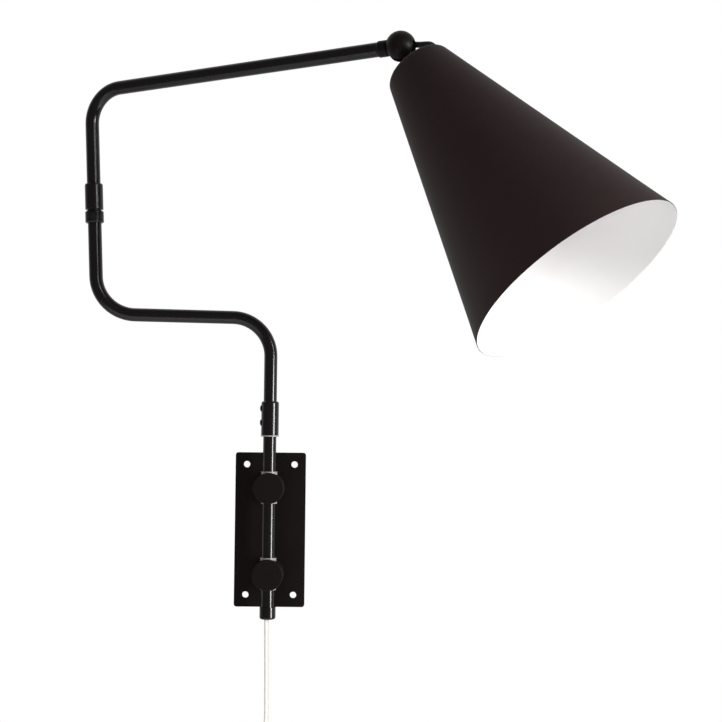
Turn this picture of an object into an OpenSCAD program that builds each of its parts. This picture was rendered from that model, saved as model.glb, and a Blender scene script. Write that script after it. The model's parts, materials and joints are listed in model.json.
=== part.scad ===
// Swing arm wall sconce: wall plate, fixed post, two cranked arms, ball knuckle and spun shade.
// Frame: origin at the centre of the wall plate's back face, +Y into the wall, +Z up, millimetres.

/* [Wall plate] */
// Width of the wall plate
plate_w = 65; // [60:1:90]
// Height of the wall plate
plate_h = 142; // [136:1:180]
// Thickness of the wall plate
plate_t = 3; // [2:0.5:4]
// Sideways distance between the wall screw holes
hole_dx = 44; // [40:1:50]
// Upright distance between the wall screw holes
hole_dz = 120; // [112:1:124]
// Diameter of the wall screw holes
hole_d = 6; // [4:0.5:7]

/* [Post and bosses] */
// Outer diameter of the post and of both arm tubes
tube_d = 12; // [11.8:0.1:12.2]
// Wall thickness of the tubes
tube_wall = 1.2; // [1:0.1:1.4]
// Distance of the post's axis in front of the wall
post_y = 22; // [21:0.5:26]
// Diameter of the two bosses that hold the post
boss_d = 28; // [26:1:32]
// Length of the bosses
boss_len = 32; // [31:1:36]
// Upright distance between the two bosses
boss_gap = 78; // [60:1:90]
// Height of the post's top end, where the arm's washer rests
post_top = 85.8; // [80:0.2:95]
// Height of the post's bottom end
post_bottom = -76; // [-84:1:-72]

/* [Lower arm] */
// Direction of the lower arm seen from above, 180 is flat along the wall to the left
lower_azimuth = 192; // [180:1:300]
// Distance from the post's axis to the elbow's axis
lower_reach = 157; // [120:1:260]
// Height of the lower arm's level run
lower_run_z = 194; // [185:1:240]
// Bend radius of the lower arm's centre line
bend_r = 35; // [25:1:40]
// Angle by which the elbow's axis leans outward from upright
elbow_lean = 2.5; // [0:0.5:4]
// Height of the elbow collar's underside above the lower run
elbow_h = 81.5; // [75:0.5:100]

/* [Upper arm] */
// Direction of the upper arm, turned about the elbow from the lower arm's direction
elbow_angle = 145; // [20:1:175]
// Distance from the elbow's axis to the ball's centre
upper_reach = 298; // [200:1:400]
// Height of the upper arm's run above the lower run
upper_run_h = 200; // [180:1:240]
// Bend radius of the upper arm's centre line
upper_bend_r = 29.5; // [25:0.5:40]

/* [Head] */
// Diameter of the ball knuckle
ball_d = 25; // [25:0.5:27]
// Roll of the head about the upper arm
head_roll = -8; // [-90:1:90]
// Tilt of the shade, 0 is square to the upper arm
shade_tilt = -35; // [-65:1:25]
// Distance from the ball's centre to the shade's flat top
shade_drop = 24; // [23:0.5:26]
// Length of the shade from its flat top to its mouth
shade_len = 228; // [200:1:260]
// Radius of the cone where it would meet the flat top
shade_top_r = 26.6; // [26:0.1:30]
// Radius of the shade's mouth
shade_mouth_r = 89; // [80:1:100]
// Radius of the rounded shoulder
shoulder_r = 7.5; // [6:0.5:9]
// Thickness of the shade's metal
shade_t = 0.8; // [0.6:0.1:1.2]

/* [Cord] */
// Width of the flat twin cord
cord_w = 5.8; // [5.4:0.1:6.2]
// Thickness of the flat twin cord
cord_t = 3; // [2.6:0.1:3.2]
// Mean radius of the stored coil
coil_r = 34; // [32:0.5:34.5]
// Turns of cord that lie one on another in the coil
coil_rows = 4; // [4:1:4]
// Turns of cord that lie side by side in the coil
coil_columns = 2; // [2:1:2]

/* [Hidden] */
$fn = 64;
tube_id = tube_d - 2 * tube_wall;
pivot_d = 10;
running = 0.05;
lead_d = 4.6;
core_d = 3.2;
bore_d = 7;
sleeve_d = 16;
sleeve_len = 31;
sleeve_seat = 11.5;
sleeve_z = post_top + 1.2;
bush_od = 14.5;
bush_len = 29;
bush_lift = 0.5;
grub_d = 4;
boss_screw_d = 5;
boss_screw_head = 9.4;
// thinning of the last bend, so that its end lies inside the leg that follows it
seam = 0.04;
dark = [0.12, 0.10, 0.095];
steel = [0.62, 0.62, 0.60];
brass = [0.78, 0.62, 0.30];
nylon = [0.93, 0.92, 0.89];
clear_pvc = [0.8, 0.68, 0.62];
black = [0.06, 0.06, 0.06];
elbow_collar_len = 10.5;
elbow_washer_t = 1.5;
elbow_sleeve_z = elbow_h + elbow_collar_len + elbow_washer_t;
elbow_sleeve_len = 23.5;
elbow_seat = 10;
elbow_grub_z = [7, 18.5];
shoulder_screw_z = [11.5, 24.5];
elbow_tangent = bend_r * tan((90 - elbow_lean) / 2);
upper_tube_end = upper_reach - 12.8;
lower_tube_top = elbow_h + 4;
slot_half = 3.5;
eye_r = 6.5;
shank_d = tube_id - 0.16;
cone_tan = (shade_mouth_r - shade_top_r) / shade_len;
cone_a = atan(cone_tan);
flat_r = shade_top_r + shoulder_r * cone_tan - shoulder_r / cos(cone_a);
holder_z = shade_drop + shade_t + 1;
holder_r = 19;
holder_cap_len = 20;
skirt_len = 35;
skirt_bore = 33.2;
shell_depth = 29;
bulb_depth = 31;
bulb_cap_r = 13;
bulb_cap_len = 25;
globe_r = 27.5;
glass_t = 1;
lead_hole = [17.7, 3.4];
cord_end_x = -24.5;
coil_z = -250;
coil_c = [cord_end_x + coil_r + (coil_rows - 1) / 2 * cord_t, -22, coil_z];
cap_top = -68.5;
cap_bottom = -79.5;
route_down = [[0, -22, -79.5], [0.2, -22, -94], [0.4, -22, -109], [0.6, -22, -124], [0.8, -22, -139],
    [0.9, -22, -154], [0.9, -22, -168], [-0.4, -22.1, -182], [-4.2, -22.6, -196], [-9.9, -23.3, -209],
    [-16, -24, -222], [-21.5, -24.6, -235.5], [-24.5, -24.9, -250]];
route_tail = [[-24.5, -19.1, -250], [-24.5, -19.1, -262.5], [-24.5, -19.1, -275], [-24.5, -19.1, -287.5],
    [-24.5, -19.1, -300]];
plug_at = [-24.5, -19.1, -300];
plug_len = 36;
pin_x = 9.3;
pin_r = 2;
pin_root_r = 1.7;
pin_len = 19;
// cores inside the knuckle, in the knuckle's frame, round the pivot screw
core_rise = [8, 7, 5.4];
core_route = [[-35.5, 0, 0], [-14.4, 0, 0], [-12.06, 0.82, 0.63], [-5.5, 6.56, 5.06], [-4.26, 6.98, 5.26],
    [9.4, 6.55, 2.7]];
lead_route = [[9.8, 6.5, -3.8], [12.8, 6.4, -6.8], [16.2, 5.9, -9.9], [19.3, 5.3, -13.3], [20.5, 4.7, -17.6],
    [19, 4, -21.6], [17.7, 3.4, -25], [17.2, 2.9, -29], [16.4, 2.2, -33.5], [14.2, 1.4, -38],
    [11, 0.8, -41]];

// ---- frames ----
module at_post() {
    translate([0, -post_y, 0]) children();
}
module at_lower_arm() {
    at_post() rotate([0, 0, lower_azimuth]) children();
}
module at_elbow() {
    at_lower_arm() translate([lower_reach, 0, lower_run_z]) rotate([0, elbow_lean, 0]) children();
}
module at_upper_arm() {
    at_elbow() rotate([0, 0, elbow_angle]) children();
}
module at_knuckle() {
    at_upper_arm() translate([upper_reach, 0, upper_run_h]) rotate([head_roll, 0, 0]) children();
}
module at_shade() {
    at_knuckle() rotate([0, shade_tilt, 0]) children();
}

// ---- shared shapes ----
// A washer, bush or sleeve standing on z = 0
module ring(od, id, h) {
    difference() {
        cylinder(d = od, h = h);
        translate([0, 0, -1]) cylinder(d = id, h = h + 2);
    }
}
// A solid turned from an outline of [radius, height] points
module turned(pts) {
    rotate_extrude($fn = 96) polygon(pts);
}
// One bend that starts at the origin heading +Z and curves towards +X
module bend(r, a) {
    translate([r, 0, 0]) rotate([90, 0, 180]) rotate_extrude(angle = a, $fn = 128)
        translate([r, 0]) children();
}
// The frame at the far end of such a bend
module after_bend(r, a) {
    translate([r * (1 - cos(a)), 0, r * sin(a)]) rotate([0, a, 0]) children();
}
// The section of a tube, or of a lead when the bore is nothing
module pipe_section(od, id) {
    difference() {
        circle(d = od);
        if (id > 0) circle(d = id);
    }
}
// Lower arm's path: up from z0, level outward, then up to the elbow at height top
module lower_path(z0, top, od, id) {
    leg = lower_run_z - bend_r - z0;
    level = lower_reach - bend_r - elbow_tangent;
    translate([0, 0, z0]) linear_extrude(leg) pipe_section(od, id);
    translate([0, 0, z0 + leg]) {
        bend(bend_r, 90) pipe_section(od, id);
        after_bend(bend_r, 90) {
            linear_extrude(level) pipe_section(od, id);
            translate([0, 0, level]) rotate([0, 0, 180]) {
                bend(bend_r, 90 - elbow_lean) pipe_section(od - seam, id > 0 ? id + seam : 0);
                after_bend(bend_r, 90 - elbow_lean) translate([0, 0, -0.4])
                    linear_extrude(top - elbow_tangent + 0.4) pipe_section(od, id);
            }
        }
    }
}
// Upper arm's path: up from z0, then out to x1
module upper_path(z0, x1, od, id) {
    r = upper_bend_r;
    leg = upper_run_h - r - z0;
    translate([0, 0, z0]) linear_extrude(leg) pipe_section(od, id);
    translate([0, 0, z0 + leg]) {
        bend(r, 90) pipe_section(od, id);
        after_bend(r, 90) linear_extrude(x1 - r) pipe_section(od, id);
    }
}
// A headless screw along +X from x0 to x1 with a hexagon socket in its outer end at x0
module grub(x0, x1, d) {
    translate([x0, 0, 0]) rotate([0, 90, 0]) difference() {
        cylinder(d = d, h = x1 - x0, $fn = 32);
        translate([0, 0, -1]) cylinder(d = d / 2, h = 1 + d / 2, $fn = 6);
    }
}
// A pivot pin: plug pressed into the tube below z = 0 and a running spigot of length h above it
module pivot_pin(plug, h, groove_z) {
    r = pivot_d / 2;
    difference() {
        turned([[0, -plug], [tube_id / 2, -plug], [tube_id / 2, 0], [r, 0], [r, groove_z - 2.2],
            [r - 0.9, groove_z - 2.2], [r - 0.9, groove_z + 2.2], [r, groove_z + 2.2],
            [r, h - 0.6], [r - 0.6, h], [0, h]]);
        translate([0, 0, -plug - 1]) cylinder(d = bore_d, h = plug + h + 2);
    }
}
// A sleeve: running bore for the pivot below, seat for the arm tube above, rounded top edge
module arm_sleeve(len, seat) {
    r = sleeve_d / 2;
    edge = 1.8;
    difference() {
        turned(concat([[0, 0], [r - 0.3, 0], [r, 0.3]],
            [for (a = [0:15:90]) [r - edge + edge * cos(a), len - edge + edge * sin(a)]], [[0, len]]));
        translate([0, 0, -1]) cylinder(d = pivot_d + 2 * running, h = len + 2);
        translate([0, 0, len - seat]) cylinder(d = tube_d, h = seat + 1);
    }
}

// ---- swept cord ----
function unit(v) = v / norm(v);
function heading(p, i) = unit(p[min(i + 1, len(p) - 1)] - p[max(i - 1, 0)]);
// Half section of a flat cord, width along the first direction
function flat_ring(w, t) = [[w, t * 0.4], [w * 0.72, t], [-w * 0.72, t], [-w, t * 0.4], [-w, -t * 0.4],
    [-w * 0.72, -t], [w * 0.72, -t], [w, -t * 0.4]];
function round_ring(r) = [for (k = [0:7]) [r * cos(45 * k), r * sin(45 * k)]];
// Direction of the section's width at each ring, turned from from_a to to_a in plan
function side_dir(h, a) = unit(cross(cross(h, [cos(a), sin(a), 0]), h));
function ring_points(p, i, sec, a) = [for (s = sec)
    p[i] + s[0] * side_dir(heading(p, i), a) + s[1] * cross(heading(p, i), side_dir(heading(p, i), a))];
module swept(p, sec, turn_a, turn_b) {
    n = len(p);
    m = len(sec);
    pts = [for (i = [0:n - 1]) each ring_points(p, i, sec, turn_a + (turn_b - turn_a) * i / (n - 1))];
    sides = [for (i = [0:n - 2], k = [0:m - 1])
        each [[i * m + k, i * m + (k + 1) % m, (i + 1) * m + (k + 1) % m],
            [i * m + k, (i + 1) * m + (k + 1) % m, (i + 1) * m + k]]];
    ends = [[for (k = [m - 1:-1:0]) k], [for (k = [0:m - 1]) (n - 1) * m + k]];
    polyhedron(points = pts, faces = [for (f = concat(sides, ends)) [for (k = [len(f) - 1:-1:0]) f[k]]],
        convexity = 6);
}

// ---- fixed to the wall ----
module wall_plate() color(dark) difference() {
    r = 2.5;
    rotate([90, 0, 0]) linear_extrude(plate_t) offset(r) square([plate_w - 2 * r, plate_h - 2 * r], true);
    for (x = [-1, 1], z = [-1, 1])
        translate([x * hole_dx / 2, 1, z * hole_dz / 2]) rotate([90, 0, 0])
            cylinder(d = hole_d, h = plate_t + 2);
    for (z = [-1, 1]) translate([0, 0, z * boss_gap / 2]) rotate([90, 0, 0]) {
        translate([0, 0, -1]) cylinder(d = boss_screw_d, h = plate_t + 2);
        translate([0, 0, -0.5]) cylinder(d1 = boss_screw_head + 1.2, d2 = boss_screw_d, h = 2.8);
    }
}
// A boss lies along -Y and is cross drilled upright for the post's bush
module boss(z) color(dark) translate([0, 0, z]) difference() {
    translate([0, -plate_t, 0]) rotate([90, 0, 0])
        turned([[0, 0], [boss_d / 2, 0], [boss_d / 2, boss_len - 0.8], [boss_d / 2 - 0.8, boss_len],
            [0, boss_len]]);
    translate([0, -post_y, -boss_d]) cylinder(d = bush_od, h = 2 * boss_d);
    translate([0, -plate_t + 1, 0]) rotate([90, 0, 0]) cylinder(d = boss_screw_d, h = 10);
    translate([-boss_d / 2 - 1, -post_y, 0]) rotate([0, 90, 0]) cylinder(d = grub_d, h = boss_d / 2);
}
module upper_boss() boss(boss_gap / 2);
module lower_boss() boss(-boss_gap / 2);
module boss_bushes() color(nylon) for (z = [-1, 1])
    translate([0, -post_y, z * boss_gap / 2 - bush_len / 2 + bush_lift]) difference() {
        ring(bush_od, tube_d, bush_len);
        translate([-bush_od, 0, bush_len / 2 - bush_lift]) rotate([0, 90, 0])
            cylinder(d = grub_d, h = bush_od);
    }
module boss_screws() color(steel) for (z = [-1, 1]) translate([0, 0, z * boss_gap / 2])
    rotate([90, 0, 0]) difference() {
        union() {
            cylinder(d1 = boss_screw_head, d2 = boss_screw_d, h = 2.2);
            cylinder(d = boss_screw_d, h = plate_t + 8);
        }
        translate([0, 0, -1]) cylinder(d = 3.4, h = 2.8, $fn = 6);
    }
module post_grub_screws() color(steel) for (z = [-1, 1])
    translate([0, -post_y, z * boss_gap / 2]) grub(-boss_d / 2 + 1, -tube_d / 2, grub_d);
module post_tube() color(dark) at_post() translate([0, 0, post_bottom])
    ring(tube_d, tube_id, post_top - post_bottom);
module shoulder_pivot() color(steel) at_post() translate([0, 0, post_top]) pivot_pin(16, 19, 12.7);
module shoulder_washer() color(nylon) at_post() translate([0, 0, post_top])
    ring(16.4, pivot_d + 0.1, sleeve_z - post_top - 0.1);
module end_cap() color(dark) at_post() difference() {
    r = 7.3;
    turned(concat([[0, cap_top], [r, cap_top]],
        [for (a = [0:-15:-90]) [r - 2 + 2 * cos(a), cap_bottom + 2 + 2 * sin(a)]], [[0, cap_bottom]]));
    translate([0, 0, post_bottom]) cylinder(d = tube_d, h = 20);
    translate([0, 0, cap_bottom - 1]) linear_extrude(20) cord_section(0.2);
}
// Outline of the flat cord, grown by g
module cord_section(g) {
    half = (cord_w - cord_t) / 2;
    square([2 * half, cord_t + 2 * g], true);
    for (x = [-half, half]) translate([x, 0]) circle(d = cord_t + 2 * g, $fn = 32);
}
module cord_grip() color(nylon) at_post() translate([0, 0, post_bottom]) difference() {
    cylinder(d = tube_id, h = 9);
    translate([0, 0, -1]) linear_extrude(11) cord_section(0);
}
module cord_splice() color(black) at_post() translate([0, 0, post_bottom + 12]) cylinder(d = 7.6, h = 24);
module post_lead() color(black) at_post() {
    translate([0, 0, cap_bottom]) linear_extrude(post_bottom + 12 - cap_bottom) cord_section(0);
    translate([0, 0, post_bottom + 36]) cylinder(d = lead_d, h = post_top + 19.5 - post_bottom - 36);
}

// ---- lower arm ----
module shoulder_sleeve() color(dark) at_lower_arm() translate([0, 0, sleeve_z]) difference() {
    arm_sleeve(sleeve_len, sleeve_seat);
    for (z = shoulder_screw_z) rotate([0, 0, 180 - lower_azimuth]) translate([4, 0, z])
        rotate([0, 90, 0]) cylinder(d = grub_d, h = 6);
}
// Low domed screws: the upper one locks the tube, the lower one runs in the pivot's groove
module shoulder_screws() color(steel) at_lower_arm() rotate([0, 0, 180 - lower_azimuth]) {
    for (s = [[shoulder_screw_z[0], 4.4], [shoulder_screw_z[1], tube_d / 2]])
        translate([0, 0, sleeve_z + s[0]]) rotate([0, 90, 0]) difference() {
            turned([[0, s[1]], [grub_d / 2, s[1]], [grub_d / 2, sleeve_d / 2], [2.9, sleeve_d / 2],
                [2.9, sleeve_d / 2 + 0.3], [2.2, sleeve_d / 2 + 0.9], [1.1, sleeve_d / 2 + 1.2],
                [0, sleeve_d / 2 + 1.2]]);
            translate([0, 0, sleeve_d / 2]) cylinder(d = 2.2, h = 3, $fn = 6);
        }
}
module lower_arm_tube() color(dark) at_lower_arm()
    lower_path(sleeve_z + sleeve_len - sleeve_seat, lower_tube_top, tube_d, tube_id);
module lower_arm_lead() color(black) at_lower_arm()
    lower_path(post_top + 20, elbow_h + elbow_collar_len + 17, lead_d, 0);
module elbow_collar() color(dark) at_elbow() translate([0, 0, elbow_h]) difference() {
    r = 8.25;
    len = elbow_collar_len;
    turned([[0, 0], [r - 1, 0], [r, 1], [r, len - 1], [r - 1, len], [0, len]]);
    translate([0, 0, -1]) cylinder(d = tube_d, h = 5);
    translate([0, 0, -1]) cylinder(d = tube_id, h = len + 2);
}
module elbow_pivot() color(steel) at_elbow() translate([0, 0, elbow_h + elbow_collar_len]) {
    r = pivot_d / 2;
    difference() {
        turned([[0, -16], [tube_id / 2, -16], [tube_id / 2, 0], [4.8, 0], [r, elbow_washer_t],
            [r, 6.3], [r - 0.9, 6.3], [r - 0.9, 10.7], [r, 10.7], [r, 13.8], [r - 0.6, 14.4], [0, 14.4]]);
        translate([0, 0, -17]) cylinder(d = bore_d, h = 40);
    }
}
module elbow_washer() color(steel) at_elbow() translate([0, 0, elbow_h + elbow_collar_len])
    ring(12.4, pivot_d + 0.1, elbow_washer_t - 0.1);

// ---- upper arm ----
module elbow_sleeve() color(dark) at_upper_arm() translate([0, 0, elbow_sleeve_z]) difference() {
    arm_sleeve(elbow_sleeve_len, elbow_seat);
    for (z = elbow_grub_z) rotate([0, 0, 110]) translate([4, 0, z]) rotate([0, 90, 0])
        cylinder(d = grub_d, h = 6);
}
module elbow_grub_screws() color(steel) at_upper_arm() rotate([0, 0, 110]) {
    for (s = [[elbow_grub_z[0], 4.4], [elbow_grub_z[1], tube_d / 2]]) translate([0, 0, elbow_sleeve_z + s[0]])
        rotate([0, 0, 180]) grub(-sleeve_d / 2 + 0.4, -s[1], grub_d);
}
module upper_arm_tube() color(dark) at_upper_arm() difference() {
    upper_path(elbow_sleeve_z + elbow_sleeve_len - elbow_seat, upper_tube_end, tube_d, tube_id);
    translate([upper_reach - 15.5, 0, upper_run_h]) rotate([-90, 0, 0]) cylinder(d = 3, h = 8);
}
module upper_arm_lead() color(black) at_upper_arm()
    upper_path(elbow_h + elbow_collar_len + 18, upper_reach - 36, lead_d, 0);
module end_ferrule() color(dark) at_upper_arm() translate([upper_reach, 0, upper_run_h]) difference() {
    rotate([0, 90, 0]) translate([0, 0, -19.5])
        turned([[0, 0], [6.1, 0], [6.75, 1], [6.75, 8], [0, 8]]);
    translate([-20, 0, 0]) rotate([0, 90, 0]) cylinder(d = tube_d, h = 10);
    translate([-15.5, 0, 0]) rotate([-90, 0, 0]) cylinder(d = 3, h = 8);
}
module ferrule_grub_screw() color(steel) at_upper_arm() translate([upper_reach - 15.5, 0, upper_run_h])
    rotate([0, 0, -90]) grub(-6.6, -4, 3);

// ---- knuckle ----
// Ball with a shank that turns in the tube, a slot for the link and a channel for the cores
module ball_knuckle() color(dark) at_knuckle() difference() {
    union() {
        sphere(d = ball_d, $fn = 128);
        rotate([0, -90, 0]) turned([[0, 0], [shank_d / 2, 0], [shank_d / 2, 13.8], [3.8, 13.8], [3.8, 17.2],
            [shank_d / 2, 17.2], [shank_d / 2, 33], [0, 33]]);
    }
    rotate([0, -90, 0]) translate([0, 0, 10]) cylinder(d = 5, h = 30);
    // channel past the pivot screw, then out at the back
    translate([-13, 0, 0]) aim(core_rise) cylinder(d = 4.2, h = norm(core_rise) + 0.6);
    translate([-13, 0, 0] + core_rise) aim([16, -0.5, -3]) translate([0, 0, -0.3]) cylinder(d = 5, h = 20);
    // slot: round pocket for the link's eye and a sector for its travel
    rotate([90, 0, 0]) translate([0, 0, -slot_half]) {
        cylinder(r = eye_r + 0.5, h = 2 * slot_half);
        linear_extrude(2 * slot_half)
            polygon([[0, 4.8], [-4.8, 0], [-16, -6], [-16, -16], [20, -16], [20, 0.8], [7, 4.2]]);
    }
    // pivot screw: clearance in the back cheek, thread in the front cheek
    translate([0, 8.6, 0]) rotate([90, 0, 0]) cylinder(d = 4, h = 17.6);
    translate([0, 13, 0]) rotate([90, 0, 0]) cylinder(d = 7.4, h = 4.4);
}
// Turns +Z to point along v
module aim(v) {
    rotate([0, acos(v[2] / norm(v)), atan2(v[1], v[0])]) children();
}
module pivot_screw() color(steel) at_knuckle() {
    translate([0, 8.6, 0]) rotate([90, 0, 0]) cylinder(d = 4, h = 17.4, $fn = 48);
    difference() {
        translate([0, 11.4, 0]) rotate([90, 0, 0]) cylinder(d = 7, h = 2.8);
        translate([0, 12, 0]) rotate([90, 0, 0]) cylinder(d = 2.9, h = 2.4, $fn = 6);
    }
}
module knuckle_lead() color(black) at_knuckle() swept(core_route, round_ring(core_d / 2), 90, 90);

// ---- head ----
module stem_link() color(steel) at_shade() difference() {
    union() {
        translate([0, 2.9, 0]) rotate([90, 0, 0]) cylinder(r = eye_r, h = 5.8);
        translate([-4, -2.9, -14]) cube([8, 5.8, 14]);
        translate([0, 0, -shade_drop - 14]) cylinder(d = pivot_d, h = shade_drop);
    }
    translate([0, 4, 0]) rotate([90, 0, 0]) cylinder(d = 4 + 2 * running, h = 8);
}
module friction_washers() color(brass) at_shade() for (y = [2.9, -3.4])
    translate([0, y + 0.5, 0]) rotate([90, 0, 0]) ring(12, 4 + 2 * running, 0.5);
module shade_nut() color(dark) at_shade() translate([0, 0, -shade_drop]) difference() {
    intersection() {
        cylinder(d = 16.2, h = 5, $fn = 6);
        turned([[0, 0], [8.1, 0], [8.1, 4.4], [7, 5], [0, 5]]);
    }
    translate([0, 0, -1]) cylinder(d = pivot_d, h = 8);
}
module star_washer() color(steel) at_shade() translate([0, 0, -holder_z]) ring(18, pivot_d, 1);
function arc(c, r, a0, a1, n) = [for (i = [0:n]) let (a = a0 + (a1 - a0) * i / n) c + r * [cos(a), sin(a)]];
module shade() color(dark) at_shade() difference() {
    c = [flat_r, -shade_drop - shoulder_r];
    mouth_z = -shade_drop - shade_len;
    slant = shade_t / cos(cone_a);
    turned(concat([[0, -shade_drop]], arc(c, shoulder_r, 90, cone_a, 8), [[shade_mouth_r, mouth_z],
        [shade_mouth_r - slant, mouth_z]], arc(c, shoulder_r - shade_t, cone_a, 90, 8),
        [[0, -shade_drop - shade_t]]));
    translate([0, 0, -shade_drop - 2]) cylinder(d = pivot_d, h = 4);
    translate([lead_hole[0], lead_hole[1], -shade_drop - 2]) cylinder(d = 5.6, h = 4);
}
module lead_grommet() color(black) at_shade() translate([lead_hole[0], lead_hole[1], -shade_drop])
    difference() {
    turned([[0, -shade_t], [2.8, -shade_t], [2.8, 0], [3.6, 0.05], [3.6, 0.8], [3, 1.4], [0, 1.4]]);
    translate([0, 0, -3]) cylinder(d = lead_d, h = 6);
}
module head_lead() color(black) at_shade() swept(lead_route, round_ring(lead_d / 2), 0, 0);
module holder_cap() color(black) at_holder(0) difference() {
    turned([[0, 0], [7.5, 0], [7.5, 6.5], [9, 8], [15, 12], [18.4, 16.5], [holder_r, holder_cap_len],
        [0, holder_cap_len]]);
    translate([0, 0, -1]) cylinder(d = pivot_d, h = 14);
    translate([0, 0, 12.5]) turned([[0, 0], [11.5, 0], [16, 5], [16.6, 9], [0, 9]]);
    translate([14, -1.3, 12.8]) rotate([0, -36, 0]) cylinder(d = 6, h = 12, center = true);
}
// The frame of the pieces below the shade's top, at that depth, with +Z towards the mouth
module at_holder(depth) {
    at_shade() translate([0, 0, -holder_z - depth]) rotate([180, 0, 0]) children();
}
module holder_skirt() color(black) at_holder(holder_cap_len) difference() {
    turned([[0, 0], [holder_r, 0], [holder_r, 2], [holder_r - 0.6, 3], [holder_r - 0.6, skirt_len - 4],
        [holder_r, skirt_len - 3], [holder_r, skirt_len], [0, skirt_len]]);
    translate([0, 0, -1]) cylinder(d = skirt_bore, h = skirt_len + 2);
}
module holder_core() color(nylon) at_holder(holder_cap_len) {
    r = skirt_bore / 2 - 0.1;
    turned([[0, 1], [r, 1], [r, 9], [5, 9], [5, 11], [0, 11]]);
}
module holder_shell() color(brass) at_holder(shell_depth) ring(29, 27.2, 25);
module bulb_cap() color(steel) at_holder(bulb_depth) {
    r = bulb_cap_r;
    turned([[0, 0], [4.5, 0], [5, 1.6], [r - 1.5, 2.6], [r, 4.5], [r, bulb_cap_len], [r - 0.6, bulb_cap_len],
        [r - 0.6, 5.5], [0, 5.5]]);
}
// The glass is blown: a shell that is open where the cap closes it
module bulb_glass() color([0.95, 0.95, 0.93, 0.8]) at_holder(bulb_depth + bulb_cap_len) {
    globe = [0, 43];
    turned(concat([[11.8, 0], [12.8, 0], [14, 3], [15.5, 10], [19, 18]], arc(globe, globe_r, -38, 90, 16),
        arc(globe, globe_r - glass_t, 90, -38, 16), [[18, 18.3], [14.5, 10.2], [13, 3.2]]));
}

// ---- mains cord ----
module cord_tube() color(clear_pvc) swept(route_down, flat_ring(cord_w / 2, cord_t / 2), 0, 90);
module cord_tail() color(clear_pvc) swept(route_tail, flat_ring(cord_w / 2, cord_t / 2), 90, 90);
module cord_coil() color(clear_pvc) translate(coil_c) rotate([90, 0, 0])
    rotate_extrude($fn = 96) translate([coil_r, 0]) square([coil_rows * cord_t, coil_columns * cord_w], true);
module coil_ties() color(black) for (a = [55, 235]) translate(coil_c) rotate([0, -a, 0])
    translate([coil_r, 0, 0]) difference() {
        cube([coil_rows * cord_t + 2, coil_columns * cord_w + 2, 6], center = true);
        cube([coil_rows * cord_t + 0.4, coil_columns * cord_w + 0.4, 8], center = true);
    }
// Flat two-pin plug hanging with its pins down
module plug_body() color([0.85, 0.83, 0.78]) translate(plug_at) difference() {
    union() {
        hull() {
            translate([0, 0, -14]) linear_extrude(14) offset(2, $fn = 24) square([4.6, 2.4], true);
            translate([0, 0, -18]) linear_extrude(1) offset(3, $fn = 24) square([16, 6], true);
        }
        hull() {
            translate([0, 0, -18]) linear_extrude(1) offset(3, $fn = 24) square([16, 6], true);
            translate([0, 0, -plug_len]) linear_extrude(10) offset(4, $fn = 24) square([26, 5.6], true);
        }
    }
    for (x = [-pin_x, pin_x]) translate([x, 0, -plug_len - 1]) cylinder(r = pin_root_r, h = 9);
}
module plug_pins() color(brass) translate(plug_at) for (x = [-pin_x, pin_x]) translate([x, 0, -plug_len])
    turned([[0, 8], [pin_root_r, 8], [pin_root_r, 0], [pin_r, 0], [pin_r, -pin_len + 1],
        [pin_r - 1, -pin_len], [0, -pin_len]]);

wall_plate();
upper_boss();
lower_boss();
boss_bushes();
boss_screws();
post_grub_screws();
post_tube();
shoulder_pivot();
shoulder_washer();
end_cap();
cord_grip();
cord_splice();
post_lead();
shoulder_sleeve();
shoulder_screws();
lower_arm_tube();
lower_arm_lead();
elbow_collar();
elbow_pivot();
elbow_washer();
elbow_sleeve();
elbow_grub_screws();
upper_arm_tube();
upper_arm_lead();
end_ferrule();
ferrule_grub_screw();
ball_knuckle();
pivot_screw();
knuckle_lead();
stem_link();
friction_washers();
shade_nut();
star_washer();
shade();
lead_grommet();
head_lead();
holder_cap();
holder_skirt();
holder_core();
holder_shell();
bulb_cap();
bulb_glass();
cord_tube();
cord_coil();
cord_tail();
coil_ties();
plug_body();
plug_pins();
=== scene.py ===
# Swing arm wall sconce: the looks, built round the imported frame, in metres.
import json
import math

import bmesh
import bpy
from mathutils import Matrix, Vector


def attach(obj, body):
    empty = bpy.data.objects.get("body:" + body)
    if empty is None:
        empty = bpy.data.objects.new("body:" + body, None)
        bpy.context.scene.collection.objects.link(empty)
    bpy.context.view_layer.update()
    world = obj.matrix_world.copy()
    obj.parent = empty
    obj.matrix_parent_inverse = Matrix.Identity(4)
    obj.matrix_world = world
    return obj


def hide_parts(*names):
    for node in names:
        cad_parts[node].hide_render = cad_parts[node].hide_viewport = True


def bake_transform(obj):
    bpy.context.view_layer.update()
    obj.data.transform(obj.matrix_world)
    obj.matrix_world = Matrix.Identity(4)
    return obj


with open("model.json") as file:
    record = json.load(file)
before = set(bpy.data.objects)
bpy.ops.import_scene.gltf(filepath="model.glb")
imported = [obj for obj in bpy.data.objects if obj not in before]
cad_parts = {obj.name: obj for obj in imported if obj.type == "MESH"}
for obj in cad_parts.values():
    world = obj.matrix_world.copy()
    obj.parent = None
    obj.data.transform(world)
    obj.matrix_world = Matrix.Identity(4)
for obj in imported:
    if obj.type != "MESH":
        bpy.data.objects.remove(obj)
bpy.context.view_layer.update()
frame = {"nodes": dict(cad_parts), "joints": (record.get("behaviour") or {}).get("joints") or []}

NODE = frame["nodes"]
JOINT = {j["name"]: j for j in frame["joints"]}
MM = 0.001

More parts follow.
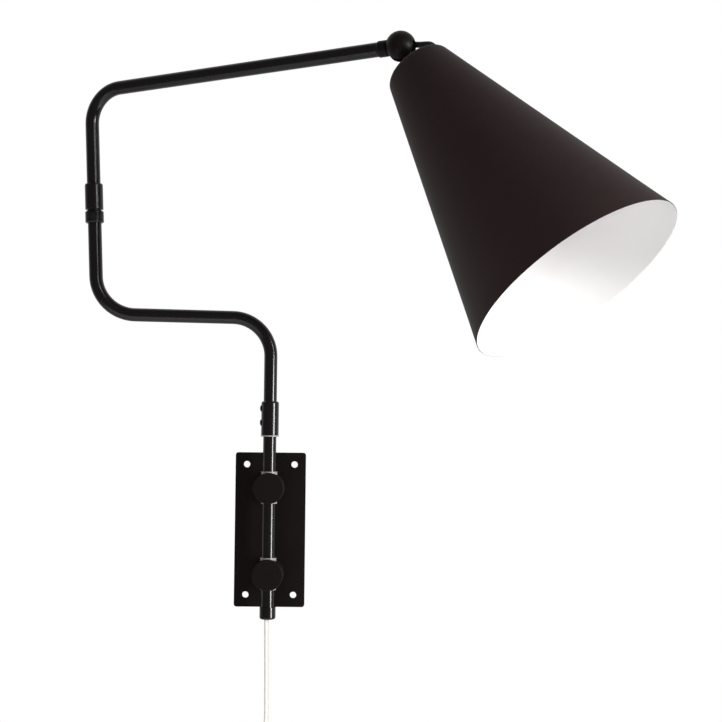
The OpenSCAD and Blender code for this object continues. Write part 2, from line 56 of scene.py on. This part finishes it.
# ---- sizes ----
TUBE_R = 6 * MM
TUBE_WALL = 1.2 * MM
LOWER_AZIMUTH = 192
LOWER_RUN_Z = 194 * MM
LOWER_REACH = 157 * MM
ELBOW_LEAN = 2.5
SHADE_TILT = -35
CORD_W = 5.8 * MM
CORD_T = 3 * MM
COIL_R = 34 * MM
COIL_ROWS = 4
POST = Vector((0, -22, 0)) * MM


# ---- frames of the moving bodies ----
def axes(x, y, origin):
    """The frame with those X and Y directions at that origin."""
    x = Vector(x).normalized()
    z = x.cross(Vector(y)).normalized()
    m = Matrix((x, z.cross(x), z)).transposed().to_4x4()
    m.translation = Vector(origin)
    return m


def turn(degrees, axis):
    """A turn about X, Y or Z."""
    return Matrix.Rotation(math.radians(degrees), 4, axis)


KNUCKLE = axes(JOINT["head_roll"]["axis"], JOINT["shade_tilt"]["axis"], JOINT["head_roll"]["pos_m"])
SHADE = KNUCKLE @ turn(SHADE_TILT, "Y")
LOWER = Matrix.Translation(POST) @ turn(LOWER_AZIMUTH, "Z")
ELBOW = LOWER @ Matrix.Translation((LOWER_REACH, 0, LOWER_RUN_Z)) @ turn(ELBOW_LEAN, "Y")


# ---- camera ----
def add_camera():
    """The camera at the front, a little below the shade."""
    yaw, pitch, roll = (math.radians(a) for a in (0.19, 2.925, 0.55))
    ahead = Vector((math.sin(yaw) * math.cos(pitch), math.cos(yaw) * math.cos(pitch), math.sin(pitch)))
    right = ahead.cross(Vector((0, 0, 1))).normalized()
    up = right.cross(ahead)
    side = right * math.cos(roll) + up * math.sin(roll)
    top = up * math.cos(roll) - right * math.sin(roll)
    data = bpy.data.cameras.new("camera")
    data.lens = 66.386
    data.sensor_width = 36
    data.clip_start = 0.05
    camera = bpy.data.objects.new("camera", data)
    camera.matrix_world = Matrix((side, top, -ahead)).transposed().to_4x4()
    camera.location = (0.0786, -1.2405, 0.0935)
    bpy.context.scene.collection.objects.link(camera)
    bpy.context.scene.camera = camera


add_camera()


# ---- mesh helpers ----
SHARP_SWEEP = 50    # degrees
def piece(name, mesh, materials=()):
    """A new object at the origin with that mesh and those materials."""
    obj = bpy.data.objects.new(name, mesh)
    bpy.context.scene.collection.objects.link(obj)
    for m in materials:
        mesh.materials.append(m)
    return obj


def from_bmesh(name, bm, sharp):
    """Turns the bmesh into a smooth mesh whose edges over that angle stay sharp."""
    bmesh.ops.remove_doubles(bm, verts=bm.verts, dist=1e-7)
    bmesh.ops.recalc_face_normals(bm, faces=bm.faces)
    mesh = bpy.data.meshes.new(name)
    bm.to_mesh(mesh)
    bm.free()
    mesh.polygons.foreach_set("use_smooth", [True] * len(mesh.polygons))
    mesh.set_sharp_from_angle(angle=math.radians(sharp))
    return mesh


def bake(obj):
    """Turns the object's modifiers into plain mesh."""
    bpy.context.view_layer.update()
    deps = bpy.context.evaluated_depsgraph_get()
    mesh = bpy.data.meshes.new_from_object(obj.evaluated_get(deps), preserve_all_data_layers=True,
                                           depsgraph=deps)
    obj.modifiers.clear()
    old = obj.data
    obj.data = mesh
    bpy.data.meshes.remove(old)


def catmull(points, step):
    """A smooth line through the points, with a point about every step."""
    pts = [Vector(p) for p in points]
    ends = [pts[0] * 2 - pts[1]] + pts + [pts[-1] * 2 - pts[-2]]
    line = []
    for a, b, c, d in zip(ends, ends[1:], ends[2:], ends[3:]):
        n = max(1, round((c - b).length / step))
        for i in range(n):
            t = i / n
            line.append(0.5 * (2 * b + (c - a) * t + (2 * a - 5 * b + 4 * c - d) * t * t
                               + (3 * b - a - 3 * c + d) * t ** 3))
    return line + [pts[-1]]


def lathe(name, profile, place, segments, sharp):
    """A ring turned from a closed outline of (radius, height) points about the Z axis of place."""
    bm = bmesh.new()
    angles = [2 * math.pi * k / segments for k in range(segments)]
    rings = [[bm.verts.new((r * math.cos(a), r * math.sin(a), z)) for a in angles] for r, z in profile]
    for a, b in zip(rings, rings[1:] + rings[:1]):
        for k in range(segments):
            bm.faces.new((a[k], a[(k + 1) % segments], b[(k + 1) % segments], b[k]))
    bm.transform(place)
    return from_bmesh(name, bm, sharp)


def arc(cx, cy, r, a0, a1, n):
    """Points of an arc, in degrees."""
    steps = [math.radians(a0 + (a1 - a0) * i / n) for i in range(n + 1)]
    return [(cx + r * math.cos(a), cy + r * math.sin(a)) for a in steps]


def sweep(name, line, outline, side_at):
    """A tube along line: outline holds (across, through) points, and side_at(i, ahead) says where across is."""
    bm = bmesh.new()
    uv = bm.loops.layers.uv.new("along")
    rings, run = [], [0.0]
    for i, p in enumerate(line):
        ahead = (line[min(i + 1, len(line) - 1)] - line[max(i - 1, 0)]).normalized()
        side = side_at(i, ahead)
        side = (side - ahead * side.dot(ahead)).normalized()
        through = ahead.cross(side)
        rings.append([bm.verts.new(p + side * a + through * b) for a, b in outline])
        if i:
            run.append(run[-1] + (p - line[i - 1]).length)
    n = len(outline)
    for i in range(len(rings) - 1):
        for k in range(n):
            near, far, next_k = rings[i], rings[i + 1], (k + 1) % n
            face = bm.faces.new((near[k], near[next_k], far[next_k], far[k]))
            for loop, (u, v) in zip(face.loops, ((k, i), (k + 1, i), (k + 1, i + 1), (k, i + 1))):
                loop[uv].uv = (u / n, run[v])
    bm.faces.new(rings[0][::-1])
    bm.faces.new(rings[-1])
    return from_bmesh(name, bm, SHARP_SWEEP)


# ---- node helpers for materials ----
def new_group(name, inputs, outputs):
    """An empty shader node group. inputs is (name, default) and outputs is (name, socket type)."""
    group = bpy.data.node_groups.new(name, "ShaderNodeTree")
    for label, default in inputs:
        kind = "NodeSocketColor" if isinstance(default, tuple) else "NodeSocketFloat"
        group.interface.new_socket(name=label, in_out="INPUT", socket_type=kind).default_value = default
    for label, kind in outputs:
        group.interface.new_socket(name=label, in_out="OUTPUT", socket_type=kind)
    return group, group.nodes.new("NodeGroupInput"), group.nodes.new("NodeGroupOutput")


def add(tree, kind, links=(), **settings):
    """A node with its settings, whose inputs are linked or set: links is (input, socket or value)."""
    node = tree.nodes.new(kind)
    for key, value in settings.items():
        setattr(node, key, value)
    for where, what in dict(links).items():
        if isinstance(what, bpy.types.NodeSocket):
            tree.links.new(what, node.inputs[where])
        else:
            node.inputs[where].default_value = what
    return node


def math_node(tree, operation, a, b=0.0, clamp=False):
    return add(tree, "ShaderNodeMath", {0: a, 1: b}, operation=operation, use_clamp=clamp).outputs[0]


def ramp(tree, value, low, high, out_low=0.0, out_high=1.0):
    """Maps low..high to out_low..out_high and holds the ends."""
    return add(tree, "ShaderNodeMapRange", {0: value, 1: low, 2: high, 3: out_low, 4: out_high}).outputs[0]


def mix_colour(tree, factor, a, b):
    return add(tree, "ShaderNodeMix", {0: factor, 6: a, 7: b}, data_type="RGBA").outputs[2]


def noise(tree, vector, scale, detail=3.0, roughness=0.5):
    node = add(tree, "ShaderNodeTexNoise", {"Vector": vector, "Scale": scale, "Detail": detail,
                                            "Roughness": roughness})
    return node.outputs[0]


# ---- shared effects ----
def paint_skin_group():
    """Sprayed paint: orange peel, faint clouding, dust that has settled and small knocks."""
    g, i, o = new_group("paint_skin", [("Colour", (0.02, 0.02, 0.02, 1)), ("Peel Size", 900.0), ("Peel", 0.5),
                                       ("Clouding", 0.1), ("Dust", 0.1), ("Roughness", 0.4)],
                        [("Colour", "NodeSocketColor"), ("Roughness", "NodeSocketFloat"),
                         ("Height", "NodeSocketFloat")])
    place = add(g, "ShaderNodeTexCoord").outputs["Object"]
    peel = noise(g, place, i.outputs["Peel Size"], 2.0, 0.4)
    cloud = noise(g, place, 18.0, 4.0, 0.6)
    speck_cells = add(g, "ShaderNodeTexVoronoi", {"Vector": place, "Scale": 420.0, "Randomness": 1.0})
    pick = math_node(g, "GREATER_THAN", add(g, "ShaderNodeSeparateColor", {0: speck_cells.outputs["Color"]})
                     .outputs[0], 0.93)
    speck = math_node(g, "MULTIPLY", pick, ramp(g, speck_cells.outputs["Distance"], 0.05, 0.16, 1.0, 0.0))
    lit = math_node(g, "MULTIPLY", math_node(g, "SUBTRACT", cloud, 0.5), i.outputs["Clouding"])
    facing = add(g, "ShaderNodeNewGeometry").outputs["Normal"]
    face_up = add(g, "ShaderNodeSeparateXYZ", {0: facing}).outputs[2]
    settled = math_node(g, "MULTIPLY", ramp(g, face_up, 0.2, 1.0), noise(g, place, 60.0, 5.0, 0.7))
    dust = math_node(g, "MULTIPLY", math_node(g, "ADD", math_node(g, "MULTIPLY", settled, 0.35), speck),
                     i.outputs["Dust"], clamp=True)
    clouded = add(g, "ShaderNodeHueSaturation", {"Value": math_node(g, "ADD", lit, 1.0),
                                                 "Color": i.outputs["Colour"]})
    g.links.new(mix_colour(g, dust, clouded.outputs[0], (0.3, 0.28, 0.26, 1)), o.inputs[0])
    rough = math_node(g, "ADD", i.outputs["Roughness"], math_node(g, "MULTIPLY", dust, 0.4))
    rough = math_node(g, "ADD", rough, math_node(g, "MULTIPLY", math_node(g, "SUBTRACT", cloud, 0.5), 0.12))
    g.links.new(rough, o.inputs[1])
    height = math_node(g, "MULTIPLY", math_node(g, "ADD", peel, math_node(g, "MULTIPLY", speck, 0.3)),
                       i.outputs["Peel"])
    g.links.new(height, o.inputs[2])
    return g


def tool_lines_group():
    """Fine tool lines round a turned or spun piece, told from the distance along an axis."""
    g, i, o = new_group("tool_lines", [("Along", 0.0), ("Pitch", 4000.0), ("Depth", 0.5), ("Roughness", 0.3)],
                        [("Height", "NodeSocketFloat"), ("Roughness", "NodeSocketFloat")])
    line = math_node(g, "MULTIPLY", i.outputs["Along"], i.outputs["Pitch"])
    wave = noise(g, add(g, "ShaderNodeCombineXYZ", {0: line}).outputs[0], 1.0, 3.0, 0.7)
    g.links.new(math_node(g, "MULTIPLY", wave, i.outputs["Depth"]), o.inputs[0])
    g.links.new(math_node(g, "ADD", i.outputs["Roughness"],
                          math_node(g, "MULTIPLY", math_node(g, "SUBTRACT", wave, 0.5), 0.25)), o.inputs[1])
    return g


PEEL_DEPTH = 0.03 * MM
TOOL_DEPTH = 0.02 * MM
OPAL_WAVE = 0.05 * MM
STRAND_DEPTH = 0.02 * MM
PAINT_SKIN = paint_skin_group()
TOOL_LINES = tool_lines_group()


def new_material(name, **shader):
    """A material with a Principled BSDF whose plain inputs are set by name."""
    m = bpy.data.materials.new(name)
    m.use_nodes = True
    bsdf = m.node_tree.nodes["Principled BSDF"]
    for key, value in shader.items():
        bsdf.inputs[key.replace("_", " ")].default_value = value
    return m, m.node_tree, bsdf


def bump(tree, bsdf, height, distance):
    """Relief of that depth on the material."""
    node = add(tree, "ShaderNodeBump", {"Height": height, "Distance": distance, "Strength": 1.0})
    tree.links.new(node.outputs[0], bsdf.inputs["Normal"])


def painted(name, colour, roughness, peel=0.5, clouding=0.25, dust=0.25, specular=0.5):
    """Sprayed or moulded skin of that colour."""
    m, t, bsdf = new_material(name, Specular_IOR_Level=specular)
    skin = add(t, "ShaderNodeGroup", node_tree=PAINT_SKIN)
    for key, value in {"Colour": (*colour, 1), "Peel": peel, "Clouding": clouding, "Dust": dust,
                       "Roughness": roughness}.items():
        skin.inputs[key].default_value = value
    t.links.new(skin.outputs["Colour"], bsdf.inputs["Base Color"])
    t.links.new(skin.outputs["Roughness"], bsdf.inputs["Roughness"])
    bump(t, bsdf, skin.outputs["Height"], PEEL_DEPTH)
    return m


def along_axis(tree, place):
    """How far a point lies along the Z axis of place."""
    back = place.inverted()
    point = add(tree, "ShaderNodeTexCoord").outputs["Object"]
    turned = add(tree, "ShaderNodeVectorMath", {0: point, 1: back.row[2].xyz}, operation="DOT_PRODUCT")
    return math_node(tree, "ADD", turned.outputs["Value"], back.row[2][3])


def turned_metal(name, colour, roughness, place, metallic=1.0, depth=0.5):
    """Bare metal or plastic with tool lines about the Z axis of place."""
    m, t, bsdf = new_material(name, Metallic=metallic)
    lines = add(t, "ShaderNodeGroup", {"Along": along_axis(t, place)}, node_tree=TOOL_LINES)
    lines.inputs["Depth"].default_value = depth
    lines.inputs["Roughness"].default_value = roughness
    stain = noise(t, add(t, "ShaderNodeTexCoord").outputs["Object"], 90.0, 4.0, 0.6)
    shade = mix_colour(t, stain, tuple(c * 0.75 for c in colour) + (1,), tuple(colour) + (1,))
    t.links.new(shade, bsdf.inputs["Base Color"])
    t.links.new(lines.outputs["Roughness"], bsdf.inputs["Roughness"])
    bump(t, bsdf, lines.outputs["Height"], TOOL_DEPTH)
    return m


# ---- finishes ----
TUBE_PAINT = painted("tube_paint", (0.0045, 0.0026, 0.0026), 0.21, peel=0.015, clouding=0.15, dust=0.04,
                     specular=0.6)
PLATE_PAINT = painted("plate_paint", (0.0078, 0.005, 0.0048), 0.45, peel=0.5, dust=0.08, specular=0.12)
SHADE_PAINT = painted("shade_paint", (0.027, 0.0165, 0.0165), 0.5, peel=0.5, dust=0.15, specular=0.08)
KNUCKLE_PAINT = painted("knuckle_paint", (0.0075, 0.0048, 0.0048), 0.42, peel=0.3, dust=0.1, specular=0.2)
SHADE_WHITE = painted("shade_white", (0.79, 0.777, 0.775), 0.5, peel=0.5, clouding=0.03, dust=0.05)
CLEAR_NYLON = turned_metal("turned_nylon", (0.4, 0.39, 0.38), 0.35, Matrix.Translation(POST), 0.0)
POST_STEEL = turned_metal("post_steel", (0.62, 0.61, 0.59), 0.25, Matrix.Translation(POST))
ELBOW_STEEL = turned_metal("elbow_steel", (0.62, 0.61, 0.59), 0.25, ELBOW)
STEM_STEEL = turned_metal("stem_steel", (0.6, 0.59, 0.57), 0.3, SHADE)
BLACK_STEEL = turned_metal("blackened_steel", (0.05, 0.048, 0.046), 0.35, Matrix.Translation(POST), 0.8)
BRASS = turned_metal("brass", (0.78, 0.56, 0.25), 0.28, SHADE)
PHENOLIC = painted("phenolic", (0.012, 0.011, 0.011), 0.22, peel=0.2, clouding=0.2, dust=0.1)
PORCELAIN = painted("porcelain", (0.85, 0.84, 0.8), 0.15, peel=0.3, clouding=0.05, dust=0.0)
LEAD_BLACK = painted("lead_black", (0.012, 0.011, 0.011), 0.4, peel=0.7, clouding=0.3, dust=0.4)


def opal_glass():
    """White glass with a faint wave."""
    m, t, bsdf = new_material("opal_glass", Base_Color=(0.93, 0.93, 0.91, 1), Roughness=0.12,
                              Subsurface_Weight=0.3, Subsurface_Scale=0.004)
    bump(t, bsdf, noise(t, add(t, "ShaderNodeTexCoord").outputs["Object"], 70.0), OPAL_WAVE)
    return m


def cord_sheath():
    """Clear sheath over two stranded cores: copper on one side, tinned on the other."""
    m, t, bsdf = new_material("cord_sheath", Coat_Weight=0.15, Coat_Roughness=0.15)
    uv = add(t, "ShaderNodeUVMap", uv_map="along")
    across, length, _ = add(t, "ShaderNodeSeparateXYZ", {0: uv.outputs[0]}).outputs
    side = math_node(t, "COSINE", math_node(t, "MULTIPLY", across, 2 * math.pi))
    strand = math_node(t, "ADD", math_node(t, "MULTIPLY", length, 2600.0),
                       math_node(t, "MULTIPLY", across, 60.0))
    strand = math_node(t, "ADD", math_node(t, "MULTIPLY", math_node(t, "SINE", strand), 0.5), 0.5)
    copper = mix_colour(t, strand, (0.84, 0.75, 0.67, 1), (0.9, 0.83, 0.76, 1))
    tinned = mix_colour(t, strand, (0.85, 0.8, 0.76, 1), (0.91, 0.88, 0.85, 1))
    core = mix_colour(t, ramp(t, side, -0.1, 0.1), copper, tinned)
    sheath = ramp(t, math_node(t, "ABSOLUTE", side), 0.12, 0.3)
    edge = ramp(t, math_node(t, "ABSOLUTE", side), 0.86, 0.98, 1.0, 0.0)
    clear = mix_colour(t, math_node(t, "MULTIPLY", sheath, edge), (0.9, 0.89, 0.88, 1), core)
    t.links.new(clear, bsdf.inputs["Base Color"])
    scuff = noise(t, add(t, "ShaderNodeTexCoord").outputs["Object"], 300.0, 4.0, 0.6)
    t.links.new(ramp(t, scuff, 0.3, 0.7, 0.2, 0.42), bsdf.inputs["Roughness"])
    bump(t, bsdf, strand, STRAND_DEPTH)
    return m


OPAL = opal_glass()
CORD = cord_sheath()
PLUG_WHITE = painted("plug_white", (0.8, 0.8, 0.78), 0.3, peel=0.3, clouding=0.03, dust=0.15)
PIN_NICKEL = turned_metal("pin_nickel", (0.72, 0.69, 0.62), 0.2, Matrix.Identity(4))

# ---- mains cord ----
ROUTE_DOWN = [(0, -22, -79.5), (0.2, -22, -94), (0.4, -22, -109), (0.6, -22, -124), (0.8, -22, -139),
              (0.9, -22, -154), (0.9, -22, -168), (-0.4, -22.1, -182), (-4.2, -22.6, -196),
              (-9.9, -23.3, -209), (-16, -24, -222), (-21.5, -24.6, -235.5), (-24.5, -24.9, -250)]
ROUTE_TAIL = [(-24.5, -19.1, -250), (-24.5, -19.1, -262.5), (-24.5, -19.1, -275), (-24.5, -19.1, -287.5),
              (-24.5, -19.1, -300)]
ROUTE_STEP = 4 * MM
TWIST_FROM = 6      # the point of ROUTE_DOWN where the flat cord starts to turn edge on
COIL_STEPS = 72     # points on each turn
JOG = 0.2           # the part of a turn in which the cord moves over to the next one


def coil_line():
    """The coil's turns, wound inward in the front column and outward in the rear one."""
    outer = COIL_R + (COIL_ROWS - 1) / 2 * CORD_T
    first = Vector(ROUTE_DOWN[-1]) * MM
    centre = first + Vector((outer, 0, 0))
    rows = list(range(COIL_ROWS)) + list(range(COIL_ROWS))[::-1]
    turns = [(outer - row * CORD_T, (i // COIL_ROWS) * CORD_W) for i, row in enumerate(rows)]
    line = []
    for i, (r, y) in enumerate(turns):
        next_r, next_y = turns[min(i + 1, len(turns) - 1)]
        for k in range(COIL_STEPS):
            part = k / COIL_STEPS
            jog = max(0.0, (part - 1 + JOG) / JOG)
            jog = jog * jog * (3 - 2 * jog)
            angle = math.pi + 2 * math.pi * part
            reach = r + (next_r - r) * jog
            line.append(centre + Vector((reach * math.cos(angle), y + (next_y - y) * jog,
                                         reach * math.sin(angle))))
    return line


def twin_outline():
    """Half-round lobes on either side of a thinner web."""
    lobe = CORD_T / 2
    reach = CORD_W / 2 - lobe
    right = [(reach + x, y) for x, y in arc(0, 0, lobe, -130, 130, 8)]
    return right + [(-x, -y) for x, y in right]


def make_cord():
    """The flat mains cord: down from the cap, round the stored coil and into the plug."""
    down = catmull([Vector(p) * MM for p in ROUTE_DOWN], ROUTE_STEP)
    tail = catmull([Vector(p) * MM for p in ROUTE_TAIL], ROUTE_STEP)
    line = down[:-1] + coil_line() + tail
    start = next(i for i, p in enumerate(line) if p.z < ROUTE_DOWN[TWIST_FROM][2] * MM)
    twist = len(down) - start

    def side_at(i, ahead):
        t = min(1.0, max(0.0, (i - start) / twist))
        quarter = math.radians(90) * t * t * (3 - 2 * t)
        return Vector((math.cos(quarter), math.sin(quarter), 0))

    cord = piece("mains_cord", sweep("mains_cord", line, twin_outline(), side_at), [CORD])
    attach(cord, "root")
    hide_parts("cord_tube", "cord_coil", "cord_tail")


make_cord()

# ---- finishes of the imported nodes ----
FINISHES = (
    (PLATE_PAINT, "wall_plate upper_boss lower_boss"),
    (CLEAR_NYLON, "boss_bushes shoulder_washer cord_grip"),
    (POST_STEEL, "boss_screws shoulder_pivot"),
    (BLACK_STEEL, "post_grub_screws shoulder_screws elbow_washer elbow_grub_screws "
                  "ferrule_grub_screw pivot_screw"),
    (TUBE_PAINT, "post_tube end_cap shoulder_sleeve lower_arm_tube elbow_collar elbow_sleeve "
                 "upper_arm_tube shade_nut"),
    (LEAD_BLACK, "cord_splice post_lead lower_arm_lead upper_arm_lead knuckle_lead lead_grommet "
                 "head_lead coil_ties"),
    (ELBOW_STEEL, "elbow_pivot"),
    (KNUCKLE_PAINT, "end_ferrule ball_knuckle"),
    (STEM_STEEL, "stem_link star_washer bulb_cap"),
    (BRASS, "friction_washers holder_shell"),
    (SHADE_PAINT, "shade"),
    (PHENOLIC, "holder_cap holder_skirt"),
    (PORCELAIN, "holder_core"),
    (OPAL, "bulb_glass"),
    (PLUG_WHITE, "plug_body"),
    (PIN_NICKEL, "plug_pins"),
)
for finish, names in FINISHES:
    for name in names.split():
        NODE[name].material_slots[0].material = finish


# ---- shade ----
def make_shade():
    """Spun cone with a rounded shoulder, dark outside and white inside, with a rounded rim."""
    top, drop, length, shoulder, wall = 26.6, 24.0, 228.0, 7.5, 0.8
    mouth, stem_hole = 89.0, 5.0
    slope = (mouth - top) / length
    lean = math.degrees(math.atan(slope))
    flat = top + shoulder * slope - shoulder / math.cos(math.radians(lean))
    slant = wall / math.cos(math.radians(lean))
    outside = [(stem_hole, -drop)] + arc(flat, -drop - shoulder, shoulder, 90, lean, 12)
    inside = arc(flat, -drop - shoulder, shoulder - wall, lean, 90, 12) + [(stem_hole, -drop - wall)]
    bottom = -drop - length
    steps = 12
    a, b = outside[-1], (mouth, bottom)
    cone_out = [(a[0] + (b[0] - a[0]) * k / steps, a[1] + (b[1] - a[1]) * k / steps) for k in range(1, steps)]
    rim = arc(mouth - slant / 2, bottom + slant / 2, slant / 2, lean, -180 + lean, 8)
    c = inside[0]
    d = rim[-1]
    cone_in = [(d[0] + (c[0] - d[0]) * k / steps, d[1] + (c[1] - d[1]) * k / steps) for k in range(1, steps)]
    profile = [(r * MM, z * MM) for r, z in outside + cone_out + rim + cone_in + inside]
    mesh = lathe("shade_shell", profile, SHADE, 192, 60)
    shade = piece("shade_shell", mesh, [SHADE_PAINT, SHADE_WHITE])
    back = SHADE.inverted()
    for face in mesh.polygons:
        p = back @ face.center
        n = back.to_3x3() @ face.normal
        # inside: the cone's faces towards the axis, and the top's underside
        inner = n.x * p.x + n.y * p.y < 0 and n.z < 0.4 or (n.z < -0.7 and p.z > -0.04)
        face.material_index = int(inner)
    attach(shade, "shade_head")
    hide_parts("shade")


make_shade()

# ---- lead between the knuckle and the shade ----
LEAD_ROUTE = [(9.8, 6.5, -3.8), (12.8, 6.4, -6.8), (16.2, 5.9, -9.9), (19.3, 5.3, -13.3), (20.5, 4.7, -17.6),
              (19, 4, -21.6), (17.7, 3.4, -25), (17.2, 2.9, -29), (16.4, 2.2, -33.5), (14.2, 1.4, -38),
              (11, 0.8, -41)]
LEAD_R = 2.5 * MM


def make_head_lead():
    """The short lead from the ball to the grommet, in its rest shape."""
    line = [SHADE @ (p * MM) for p in catmull([Vector(p) for p in LEAD_ROUTE], 1.0)]
    across = SHADE.to_3x3().col[1]
    mesh = sweep("shade_lead", line, arc(0, 0, LEAD_R, 0, 345, 23), lambda i, ahead: across)
    lead = piece("shade_lead", mesh, [LEAD_BLACK])
    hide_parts("head_lead")
    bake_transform(lead)


make_head_lead()


# ---- elbow collar ----
def rolled_ridges_group():
    """Geometry nodes that set rolled ridges at even steps along Z."""
    g = bpy.data.node_groups.new("rolled_ridges", "GeometryNodeTree")
    g.is_modifier = True
    count = g.interface.new_socket(name="Count", in_out="INPUT", socket_type="NodeSocketInt")
    pitch = g.interface.new_socket(name="Pitch", in_out="INPUT", socket_type="NodeSocketFloat")
    radius = g.interface.new_socket(name="Radius", in_out="INPUT", socket_type="NodeSocketFloat")
    ridge = g.interface.new_socket(name="Ridge Radius", in_out="INPUT", socket_type="NodeSocketFloat")
    finish = g.interface.new_socket(name="Finish", in_out="INPUT", socket_type="NodeSocketMaterial")
    g.interface.new_socket(name="Geometry", in_out="OUTPUT", socket_type="NodeSocketGeometry")
    i, o = g.nodes.new("NodeGroupInput"), g.nodes.new("NodeGroupOutput")
    step = add(g, "ShaderNodeCombineXYZ", {2: i.outputs["Pitch"]}).outputs[0]
    line = add(g, "GeometryNodeMeshLine", {"Count": i.outputs["Count"], "Offset": step})
    path = add(g, "GeometryNodeCurvePrimitiveCircle", {"Resolution": 96, "Radius": i.outputs["Radius"]})
    section = add(g, "GeometryNodeCurvePrimitiveCircle", {"Resolution": 10,
                                                          "Radius": i.outputs["Ridge Radius"]})
    torus = add(g, "GeometryNodeCurveToMesh", {"Curve": path.outputs["Curve"],
                                               "Profile Curve": section.outputs["Curve"]})
    smooth = add(g, "GeometryNodeSetShadeSmooth", {"Geometry": torus.outputs[0]})
    placed = add(g, "GeometryNodeInstanceOnPoints", {"Points": line.outputs[0],
                                                     "Instance": smooth.outputs[0]})
    real = add(g, "GeometryNodeRealizeInstances", {0: placed.outputs[0]})
    done = add(g, "GeometryNodeSetMaterial", {"Geometry": real.outputs[0], "Material": i.outputs["Finish"]})
    g.links.new(done.outputs[0], o.inputs[0])
    return g, {"count": count.identifier, "pitch": pitch.identifier, "radius": radius.identifier,
               "ridge": ridge.identifier, "finish": finish.identifier}


def make_collar():
    """Elbow collar: a turned body with chamfers, and rolled ridges round its waist."""
    low, length, r = 81.5 * MM, 10.5 * MM, 8.25 * MM
    waist = r - 0.35 * MM
    bore = TUBE_R - TUBE_WALL
    profile = [(TUBE_R, 0), (r - 0.9 * MM, 0), (r, 0.9 * MM), (r, 1.7 * MM), (waist, 2 * MM),
               (waist, length - 2 * MM), (r, length - 1.7 * MM), (r, length - 0.9 * MM),
               (r - 0.9 * MM, length), (bore, length), (bore, 4 * MM), (TUBE_R, 4 * MM)]
    body = lathe("elbow_collar_body", profile, ELBOW @ Matrix.Translation((0, 0, low)), 96, 30)
    ridges = piece("elbow_collar_ridges", bpy.data.meshes.new("ridges"))
    m = ridges.modifiers.new("rolled_ridges", "NODES")
    m.node_group, key = rolled_ridges_group()
    for name, value in {"count": 8, "pitch": 0.8 * MM, "radius": waist - 0.05 * MM, "ridge": 0.38 * MM,
                        "finish": TUBE_PAINT}.items():
        m[key[name]] = value
    bake(ridges)
    ridges.data.transform(ELBOW @ Matrix.Translation((0, 0, low + 2.45 * MM)))
    collar = piece("elbow_collar_ridged", body, [TUBE_PAINT])
    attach(collar, "lower_arm")
    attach(ridges, "lower_arm")
    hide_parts("elbow_collar")


make_collar()


# ---- studio ----
def add_area(name, place, target, size, power, mirrored=True):
    """A soft box; one that isn't mirrored lights matt paint and leaves no glint."""
    data = bpy.data.lights.new(name, "AREA")
    data.shape = "RECTANGLE"
    data.size, data.size_y = size
    data.energy = power
    light = bpy.data.objects.new(name, data)
    light.matrix_world = (Vector(target) - Vector(place)).to_track_quat("-Z", "Y").to_matrix().to_4x4()
    light.location = place
    light.visible_glossy = mirrored
    bpy.context.scene.collection.objects.link(light)


def add_world():
    """A white room behind the lamp that fades to a dim one in front of it."""
    world = bpy.data.worlds.new("studio")
    world.use_nodes = True
    t = world.node_tree
    out = t.nodes["Background"]
    direction = add(t, "ShaderNodeTexCoord").outputs["Generated"]
    depth = add(t, "ShaderNodeSeparateXYZ", {0: direction}).outputs[1]
    strength = ramp(t, depth, -0.1, 0.5, 0.12, 0.6)
    seen = add(t, "ShaderNodeLightPath").outputs["Is Camera Ray"]
    t.links.new(math_node(t, "MAXIMUM", strength, seen), out.inputs["Strength"])
    out.inputs["Color"].default_value = (1, 1, 1, 1)
    bpy.context.scene.world = world


FLOOR_Z = -0.9
FLOOR_SIZE = 1.6


def add_floor():
    """A pale painted floor well below the lamp."""
    m, t, bsdf = new_material("floor_paint", Roughness=0.7)
    cloud = noise(t, add(t, "ShaderNodeTexCoord").outputs["Object"], 2.0)
    t.links.new(mix_colour(t, cloud, (0.84, 0.84, 0.84, 1), (0.88, 0.88, 0.88, 1)), bsdf.inputs["Base Color"])
    bm = bmesh.new()
    bmesh.ops.create_grid(bm, x_segments=1, y_segments=1, size=FLOOR_SIZE,
                          matrix=Matrix.Translation((0, 0, FLOOR_Z)))
    piece("floor", from_bmesh("floor", bm, SHARP_SWEEP), [m])


add_world()
add_floor()
add_area("key", (1.5, -0.95, 0.1), (0, -0.05, 0.1), (0.3, 1.15), 32)
add_area("low_left", (-0.7, -1.3, -0.8), (0.2, -0.25, 0.25), (0.8, 0.8), 11, mirrored=False)
add_area("front_fill", (-0.5, -2.0, 0.7), (0.2, -0.25, 0.25), (1.6, 1.6), 8, mirrored=False)
add_area("arm_glint", (1.1, -1.36, 0.68), (-0.16, -0.06, 0.24), (0.15, 0.5), 2.2)
bpy.context.scene.view_settings.view_transform = "Standard"
